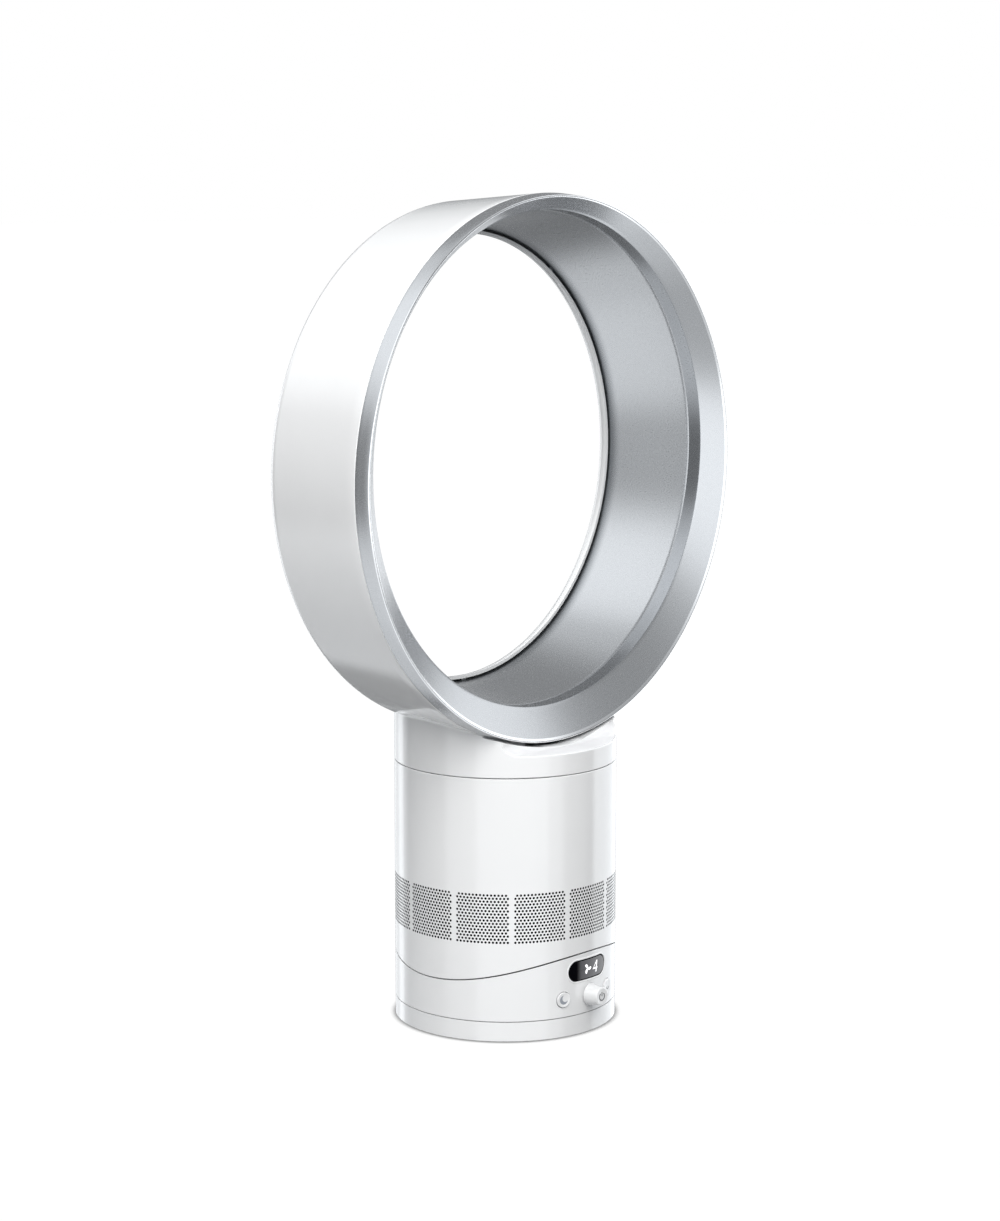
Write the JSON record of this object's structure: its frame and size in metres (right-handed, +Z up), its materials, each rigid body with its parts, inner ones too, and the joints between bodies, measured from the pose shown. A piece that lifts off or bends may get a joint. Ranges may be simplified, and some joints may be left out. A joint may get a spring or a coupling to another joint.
{
  "type": "bladeless desk fan",
  "caption": "Bladeless desk fan: white cylinder base with display, dial and two buttons, perforated inlet band, and a round air ring with silver inner surface.",
  "frame": {"origin": "On the table, under the cylinder's axis: the middle of the underside of the foot's middle pad.", "axes": "+Z up along the cylinder's axis. The fan blows towards -Y, which is the side with the display, the dial and the buttons. The cable inlet is at the back, +Y. +X is to the right for someone who looks at the front."},
  "size_m": [0.354, 0.1592, 0.5435],
  "materials": {
    "white_gloss": "polished white moulding",
    "white_satin": "satin white moulding",
    "silver_metallic": "satin metallic silver lacquer",
    "black_window": "polished dark acrylic",
    "display": "matt black display carrier",
    "rubber": "matt",
    "grey_plastic": "fine texture",
    "moulded_grey": "plain moulding",
    "black_plastic": "plain moulding",
    "acetal": "low-friction moulding",
    "circuit_board": "solder mask",
    "steel": "zinc plated",
    "brass": "machined",
    "copper_winding": "enamelled copper on steel laminations",
    "magnet": "sintered",
    "foam": "open-cell foam"
  },
  "bodies": {
    "foot": {"foot_plate": "white_gloss", "foot_pads": "rubber", "glide_ring": "acetal", "swing_gear": "acetal", "gear_screws": "steel", "retaining_plate": "steel", "cable_gland": "grey_plastic"},
    "control_base": {"base_shell": "white_gloss", "base_chassis": "moulded_grey", "chassis_screws": "steel", "display_window": "black_window", "display_module": "display", "control_board": "circuit_board", "dial_encoder": "steel", "tact_switches": "black_plastic", "power_board": "circuit_board", "swing_motor": "steel", "motor_screws": "steel", "tilt_glides": "acetal"},
    "drive_pinion": {"swing_pinion": "brass"},
    "dial_press": {"dial_spindle": "steel"},
    "dial_turn": {"dial_knob": "white_gloss"},
    "left_button": {"sleep_button": "white_gloss"},
    "right_button": {"swing_button": "white_gloss"},
    "fan_body": {"body_casing": "white_gloss", "inlet_grille": "white_satin", "tilt_shoe": "moulded_grey", "shoe_screws": "steel", "rail_keepers": "acetal", "keeper_screws": "steel", "driver_board": "circuit_board", "inlet_foam": "foam", "housing_seal": "rubber", "impeller_housing": "moulded_grey", "housing_foam": "foam", "bucket_lower": "grey_plastic", "bucket_upper": "grey_plastic", "diffuser": "moulded_grey", "motor_stator": "copper_winding", "ball_bearings": "steel", "bayonet_ring": "moulded_grey", "neck_seal": "rubber"},
    "rotor": {"impeller": "black_plastic", "rotor_shaft": "steel", "rotor_magnet": "magnet", "impeller_nut": "steel"},
    "air_ring": {"neck_collar": "white_gloss", "rear_casing": "white_gloss", "coanda_ring": "silver_metallic", "front_trim": "silver_metallic", "slot_spacers": "silver_metallic", "flow_divider": "moulded_grey", "trim_gasket": "rubber"}
  },
  "joints": [
    {"name": "swing", "type": "hinge", "parent": "foot", "child": "control_base", "pos_m": [0, 0, 0.0137], "axis": [0, 0, 1], "range_deg": [-45, 45]},
    {"name": "pinion_turn", "type": "hinge", "parent": "control_base", "child": "drive_pinion", "pos_m": [0, 0.03, 0.0065], "axis": [0, 0, 1], "range_deg": [-180, 180]},
    {"name": "dial_press", "type": "slide", "parent": "control_base", "child": "dial_press", "axis": [0, 1, 0], "range_m": [0, 0.0008], "stiffness_N_per_m": 1500, "springref_m": -0.0004},
    {"name": "dial_turn", "type": "hinge", "parent": "dial_press", "child": "dial_turn", "pos_m": [0, -0.0747, 0.0256], "axis": [0, -1, 0], "continuous": true},
    {"name": "sleep_press", "type": "slide", "parent": "control_base", "child": "left_button", "axis": [0.2974, 0.9548, 0], "range_m": [0, 0.0008], "stiffness_N_per_m": 1500, "springref_m": -0.0004},
    {"name": "swing_press", "type": "slide", "parent": "control_base", "child": "right_button", "axis": [-0.2974, 0.9548, 0], "range_m": [0, 0.0008], "stiffness_N_per_m": 1500, "springref_m": -0.0004},
    {"name": "tilt", "type": "hinge", "parent": "control_base", "child": "fan_body", "pos_m": [0, 0, 0.2184], "axis": [1, 0, 0], "range_deg": [-10, 10]},
    {"name": "rotor_spin", "type": "hinge", "parent": "fan_body", "child": "rotor", "pos_m": [0, 0, 0.122], "axis": [0, 0, 1], "continuous": true},
    {"name": "ring_lock", "type": "hinge", "parent": "fan_body", "child": "air_ring", "pos_m": [0, 0, 0.16685], "axis": [0, 0, 1], "range_deg": [0, 25]}
  ],
  "couplings": [
    {"joint": "pinion_turn", "follows": "swing", "ratio": 4}
  ]
}
